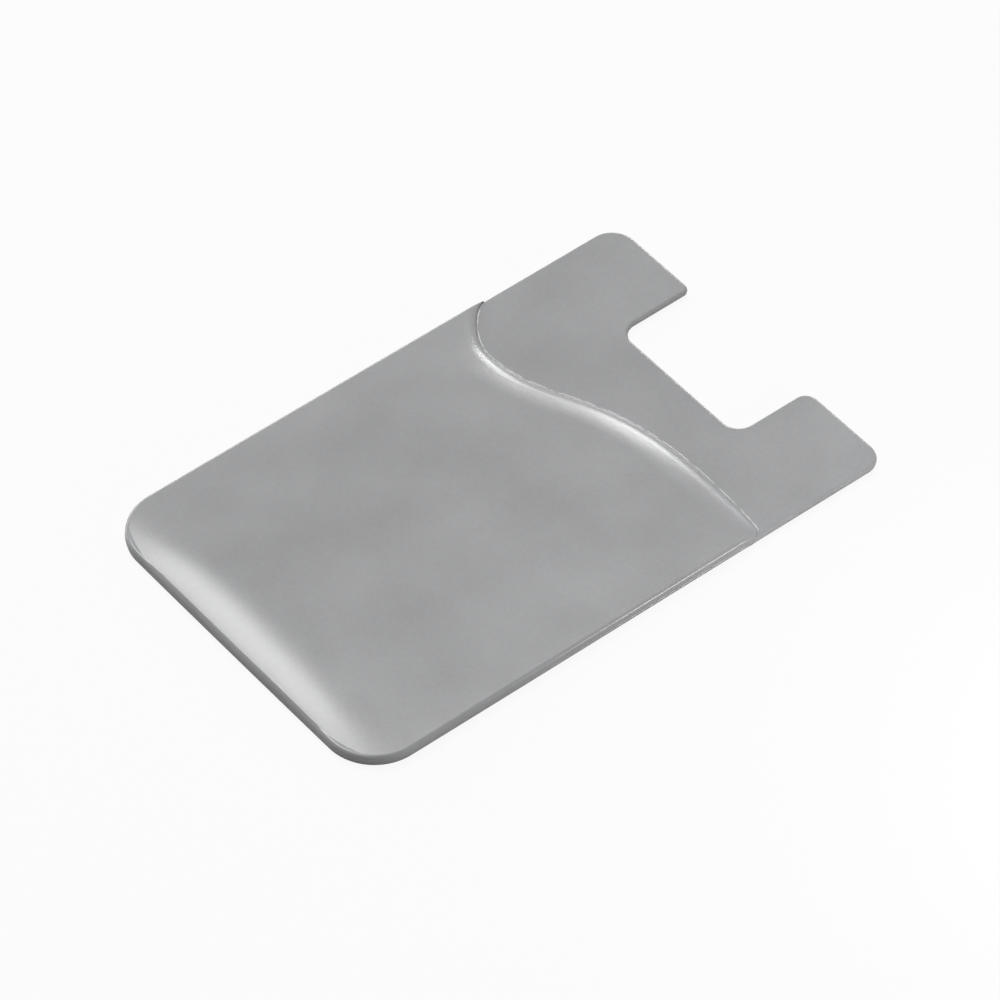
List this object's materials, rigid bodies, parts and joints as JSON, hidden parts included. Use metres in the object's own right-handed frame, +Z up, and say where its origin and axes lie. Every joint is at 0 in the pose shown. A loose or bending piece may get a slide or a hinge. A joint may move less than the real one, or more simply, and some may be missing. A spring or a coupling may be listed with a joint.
{
  "type": "stick on phone card holder",
  "caption": "Flat soft card pocket that sticks to the back of a phone, with an S-shaped mouth and a square thumb notch between two ears.",
  "frame": {"origin": "middle of the underside, on the surface that it lies on", "axes": "+X across the pocket, +Y from the closed end to the two ears, +Z up out of the front panel"},
  "size_m": [0.0582, 0.0906, 0.0032],
  "materials": {
    "silicone": "satin grey silicone",
    "adhesive": "milky double-sided adhesive film",
    "liner": "smooth coated release paper"
  },
  "bodies": {
    "root": {"pocket_body": "silicone", "adhesive_sheet": "adhesive", "release_liner": "liner"}
  },
  "joints": []
}
